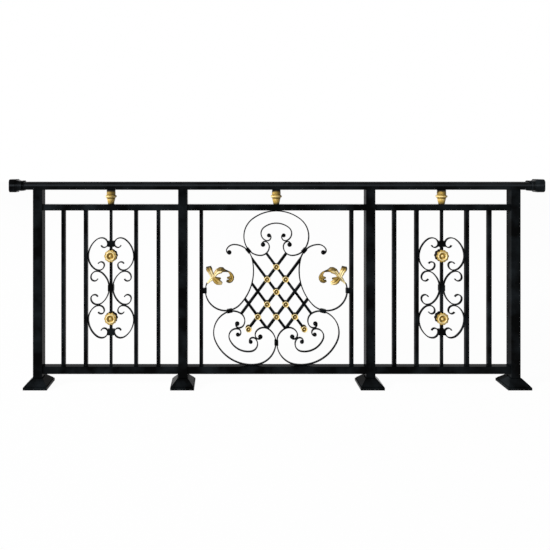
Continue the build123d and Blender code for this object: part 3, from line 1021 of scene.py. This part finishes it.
@dataclass
class Leaves:
    """Gilded acanthus leaves on the ends of the flank scrolls.

    The ribs are places across a lobe, as shares of its half width.
    """

    paint: bpy.types.Material
    root_inset: float = 0.8 * MM
    root_lift: float = 8.63 * MM
    thickness: float = 2.6 * MM
    steps: int = 4
    ribs: tuple[float, ...] = (-1.0, -0.8, -0.45, -0.12, 0.0, 0.12, 0.45, 0.8, 1.0)
    side_fall: float = 0.5
    tooth_turn: float = 0.8 * math.pi
    tip_start: float = 0.5
    rim_start: float = 0.4
    vein_shade: float = 0.3
    stem: Frond = Frond(
        (((0, 0, -5), 3), ((12, 2, 9), 6), ((26, 5, 24), 11), ((36, 5, 36), 10)),
        swell=3.0, rim=0.15,
    )
    crest: Frond = Frond(
        (
            ((34, 4, 26), 9), ((27, 8, 45), 12), ((19, 13, 64), 14), ((12, 17, 80), 17),
            ((9, 9, 93), 13),
        ),
        teeth=0.1, rim=0.35, tip=1.0,
    )
    hood: Frond = Frond(
        (
            ((34, 5, 28), 9), ((46, 8, 49), 10), ((60, 13, 65), 16), ((80, 14, 73), 17),
            ((95, 9, 69), 8), ((118, 6, 63), 3),
        ),
        swell=5.0, teeth=0.1, rim=0.7, tip=0.9,
    )
    cap: Frond = Frond(
        (((55, 17, 71), 5), ((66, 21, 79), 7), ((78, 22, 81), 7), ((91, 17, 75), 5)),
        swell=3.0, shade=0.55, rim=0.25,
    )
    curl: Frond = Frond(
        (
            ((114, 6, 65), 3), ((128, 7, 53), 7), ((135, 6, 34), 12), ((131, 4, 17), 12),
            ((119, 4, 10), 10), ((105, 6, 14), 5),
        ),
        teeth=0.1, shade=0.37, rim=0.45, tip=0.35,
    )
    barb: Frond = Frond(
        (((134, 6, 34), 9), ((121, 8, 30), 8), ((108, 7, 30), 3)),
        swell=2.0, shade=0.5, tip=0.2,
    )
    heel: Frond = Frond(
        (((34, 5, 32), 10), ((46, 10, 20), 16), ((60, 12, 8), 17), ((83, 8, -2), 7)),
        swell=6.0, teeth=0.1, shade=0.43, tip=-0.45,
    )
    ear: Frond = Frond(
        (((44, 8, 25), 9), ((59, 9, 24), 10), ((76, 6, 27), 3)),
        swell=3.0, shade=0.5, tip=0.2,
    )

    @property
    def fronds(self) -> tuple[Frond, ...]:
        """All the lobes, from the stem outwards."""
        inner = (self.stem, self.crest, self.hood, self.cap)
        return (*inner, self.curl, self.barb, self.heel, self.ear)

    def add_frond(self, shape: bmesh.types.BMesh, frond: Frond) -> None:
        """Add one lobe as a sheet with a sunk vein and swelling sides.

        Args:
            shape: Mesh to add to.
            frond: The lobe.
        """
        layer = shape.verts.layers.float[PATINA_AND_SHADE]
        line = spline([Vector(point) for point, _ in frond.vein], self.steps)
        widths = spline([Vector((width, 0, 0)) for _, width in frond.vein], self.steps)
        last = len(line) - 1
        rows = []
        for index, (point, width) in enumerate(zip(line, widths)):
            ahead = line[min(index + 1, last)] - line[max(index - 1, 0)]
            aside = Vector((-ahead.z, 0, ahead.x)).normalized()
            half = width.x * (1 + frond.teeth * math.sin(index * self.tooth_turn))
            past_start = max(0.0, index / last - self.tip_start)
            tip = frond.tip * past_start / (1 - self.tip_start)
            row = []
            for across in self.ribs:
                bulge = math.sin(abs(across) * math.pi) - self.side_fall * across**2
                place = point + aside * half * across + Vector((0, frond.swell * bulge, 0))
                vertex = shape.verts.new((place.x * MM, -place.y * MM, place.z * MM))
                vein = self.vein_shade if across == 0.0 else 0.0
                rim = frond.rim * max(0.0, abs(across) - self.rim_start) / (1 - self.rim_start)
                # Patina and painted shade: darker along the vein, towards the rim and towards the tip
                vertex[layer] = frond.shade + tip + vein + rim
                row.append(vertex)
            rows.append(row)
        for first, second in zip(rows, rows[1:]):
            for a, b, c, d in zip(first, first[1:], second[1:], second):
                shape.faces.new((a, b, c, d))

    def build(self) -> None:
        """Make the left leaf and its mirror image in place of the CAD leaves."""
        for side, way in (("left", 1.0), ("right", -1.0)):
            node = f"leaf_{side}"
            low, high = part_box(node)
            root_x = low.x + self.root_inset if way > 0 else high.x - self.root_inset
            root_z = low.z + self.root_lift
            shape = bmesh.new()
            shape.verts.layers.float.new(PATINA_AND_SHADE)
            for frond in self.fronds:
                self.add_frond(shape, frond)
            mirror = Matrix.Diagonal((way, 1, 1, 1))
            bmesh.ops.transform(shape, matrix=mirror, verts=shape.verts)
            bmesh.ops.recalc_face_normals(shape, faces=shape.faces)
            bmesh.ops.translate(shape, vec=(root_x, 0, root_z), verts=shape.verts)
            name = f"acanthus_{node}"
            piece = thickened(add_object(name, mesh_from(shape, name)), self.thickness, 0.0)
            piece.data.materials.append(self.paint)
            finish_piece(piece, Slot.GOLD, node)


@dataclass
class Welds:
    """Small coated welds round the ends of the pickets and centre bars."""

    coat: bpy.types.Material
    tree: NodeTree
    pitch: float = 2.4 * MM
    radius: float = 2.0 * MM
    lift: float = 0.4 * MM
    digits: int = 4

    def ripple(self) -> bpy.types.Object:
        """Make one ripple of weld, a small ball of few faces.

        Returns:
            The ripple.
        """
        shape = bmesh.new()
        bmesh.ops.create_icosphere(shape, subdivisions=1, radius=self.radius)
        return add_object("ripple", mesh_from(shape, "ripple"))

    def runs(self, nodes: dict[str, bpy.types.Object]) -> bpy.types.Object:
        """Lay square loops round both ends of every picket and centre bar.

        Args:
            nodes: The CAD nodes by name.

        Returns:
            An object of loops.
        """
        places, edges = [], []
        for name, node in nodes.items():
            if not name.startswith(("pickets", "centre_bar")):
                continue
            low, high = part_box(name)
            half = high.y
            corners = [vertex.co for vertex in node.data.vertices]
            rim = [corner for corner in corners if abs(corner.y - half) < SAME_PLACE]
            columns = sorted({round(corner.x, self.digits) for corner in rim})
            starts = [x for x in columns if round(x + 2 * half, self.digits) in columns]
            for start in starts:
                stop = start + 2 * half
                for z in (low.z + self.lift, high.z - self.lift):
                    first = len(places)
                    places += [(start, -half, z), (stop, -half, z), (stop, half, z), (start, half, z)]
                    edges += [(first + side, first + (side + 1) % 4) for side in range(4)]
        mesh = bpy.data.meshes.new("weld_loops")
        mesh.from_pydata(places, edges, [])
        return link("weld_loops", mesh)

    def build(self, nodes: dict[str, bpy.types.Object]) -> None:
        """Weld the pickets and centre bars to their rails.

        Args:
            nodes: The CAD nodes by name.
        """
        ripple = self.ripple()
        values = {"Part": ripple, "Pitch": self.pitch, "Material": self.coat}
        piece = self.tree.run(self.runs(nodes), "picket_welds", **values)
        bpy.data.objects.remove(ripple)
        finish_piece(piece, Slot.BLACK)


# Stage


@dataclass
class Studio:
    """White surroundings, a pale floor and soft lamps."""

    floor_half: float = 30.0
    floor_drop: float = 0.5 * MM
    floor_colour: Colour = (0.9, 0.9, 0.9, 1.0)
    shade_share: float = 0.025
    sky: float = 0.08
    key_power: float = 6400.0
    key_place: Point = (-15.3, -7.2, 7.8)
    fill_power: float = 40.0
    fill_place: Point = (-1.6, -7.0, 3.4)
    lamp_size: float = 4.0
    aim: Point = (1.285, 0.0, 0.6)

    def seen(self, tree: bpy.types.NodeTree) -> Socket:
        """Tell what sees the surroundings.

        Args:
            tree: Tree to add to.

        Returns:
            A value of 1 where the camera, a gloss or a clear body sees them.
        """
        rays = tree.nodes.new("ShaderNodeLightPath")
        total = rays.outputs["Is Camera Ray"]
        for name in ("Is Glossy Ray", "Is Transmission Ray"):
            total = maths(tree, "MAXIMUM", total, rays.outputs[name])
        return total

    def surroundings(self) -> None:
        """White world that lights the object at a plain level."""
        world = bpy.data.worlds.new("surroundings")
        bpy.context.scene.world = world
        world.use_nodes = True
        tree = world.node_tree
        level = tree.nodes.new("ShaderNodeMapRange")
        level.inputs["To Min"].default_value = self.sky
        level.inputs["To Max"].default_value = 1.0
        tree.links.new(self.seen(tree), level.inputs["Value"])
        backdrop = tree.nodes["Background"]
        backdrop.inputs["Color"].default_value = WHITE
        tree.links.new(level.outputs["Result"], backdrop.inputs["Strength"])

    def floor(self) -> None:
        """Pale floor that keeps a faint shadow."""
        mesh = bpy.data.meshes.new("floor")
        reach = self.floor_half
        z = -self.floor_drop
        corners = [(-reach, -reach, z), (reach, -reach, z), (reach, reach, z), (-reach, reach, z)]
        mesh.from_pydata(corners, [], [(0, 1, 2, 3)])
        floor = link("floor", mesh)
        material = bpy.data.materials.new("pale_floor")
        material.use_nodes = True
        tree = material.node_tree
        tree.nodes.remove(tree.nodes["Principled BSDF"])
        matt = tree.nodes.new("ShaderNodeBsdfDiffuse")
        matt.inputs["Color"].default_value = self.floor_colour
        white = tree.nodes.new("ShaderNodeEmission")
        share = maths(tree, "MULTIPLY", self.seen(tree), 1.0 - self.shade_share)
        mix = tree.nodes.new("ShaderNodeMixShader")
        sources = (share, matt.outputs["BSDF"], white.outputs["Emission"])
        for place, source in zip(mix.inputs, sources):
            tree.links.new(source, place)
        tree.links.new(mix.outputs["Shader"], tree.nodes["Material Output"].inputs["Surface"])
        mesh.materials.append(material)

    def lamp(self, name: str, place: Point, power: float) -> None:
        """Set up a soft square lamp that faces the middle of the panel.

        Args:
            name: The lamp's name.
            place: Where it stands.
            power: Its power in watts.
        """
        light = bpy.data.lights.new(name, "AREA")
        light.energy = power
        light.size = self.lamp_size
        lamp = link(name, light)
        lamp.location = place
        lamp.rotation_euler = (Vector(self.aim) - Vector(place)).to_track_quat("-Z", "Y").to_euler()

    def build(self) -> None:
        """Set up the surroundings, the floor and the lamps."""
        self.surroundings()
        self.floor()
        self.lamp("key", self.key_place, self.key_power)
        self.lamp("fill", self.fill_place, self.fill_power)
        bpy.context.scene.view_settings.view_transform = "Standard"


@dataclass
class View:
    """Camera square to the panel, shifted as the photograph is framed."""

    picture: float = 550.0
    focal_pixels: float = 502.0
    horizon_pixel: float = 163.0
    centre_pixel: float = 225.0
    axis_pixel: float = 276.3
    distance: float = 2.72
    height: float = 1.204
    axis: float = 1.285
    sensor: float = 36.0
    far_end: float = 200.0

    def build(self) -> None:
        """Place the camera."""
        camera = bpy.data.cameras.new("camera")
        camera.sensor_width = self.sensor
        camera.lens = self.focal_pixels / self.picture * self.sensor
        camera.shift_x = 0.5 - self.centre_pixel / self.picture
        camera.shift_y = self.horizon_pixel / self.picture - 0.5
        camera.clip_end = self.far_end
        made = link("camera", camera)
        offset = (self.axis_pixel - self.centre_pixel) * self.distance / self.focal_pixels
        made.location = (self.axis - offset, -self.distance, self.height)
        made.rotation_euler = (QUARTER_TURN, 0.0, 0.0)
        bpy.context.scene.camera = made


def coat_nodes(
    nodes: dict[str, bpy.types.Object], record: dict, finishes: dict[str, bpy.types.Material]
) -> None:
    """Give every CAD node the finish of its slot.

    Args:
        nodes: The CAD nodes by name.
        record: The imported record.
        finishes: Materials by slot.
    """
    for entry in record["subparts"]:
        mesh = nodes[entry["node"]].data
        mesh.materials.clear()
        mesh.materials.append(finishes[entry["material_slot"]])


def main() -> None:
    """Build the dressed panel in order."""
    logging.basicConfig(level=logging.INFO, format="%(name)s %(message)s")
    for stray in list(bpy.data.objects):
        bpy.data.objects.remove(stray)
    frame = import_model()
    coat = BlackCoat().material()
    paint = GoldPaint().material()
    finishes = {Slot.BLACK.value: coat, Slot.GOLD.value: paint}
    coat_nodes(frame["nodes"], frame["record"], finishes)
    spread = spread_tree()
    Spacers(paint).build()
    Beads(paint, spread).build()
    Rosettes(paint, ring_tree(), spread).build()
    Leaves(paint).build()
    Welds(coat, weld_tree()).build(frame["nodes"])
    Studio().build()
    View().build()


if __name__ == "__main__":
    main()
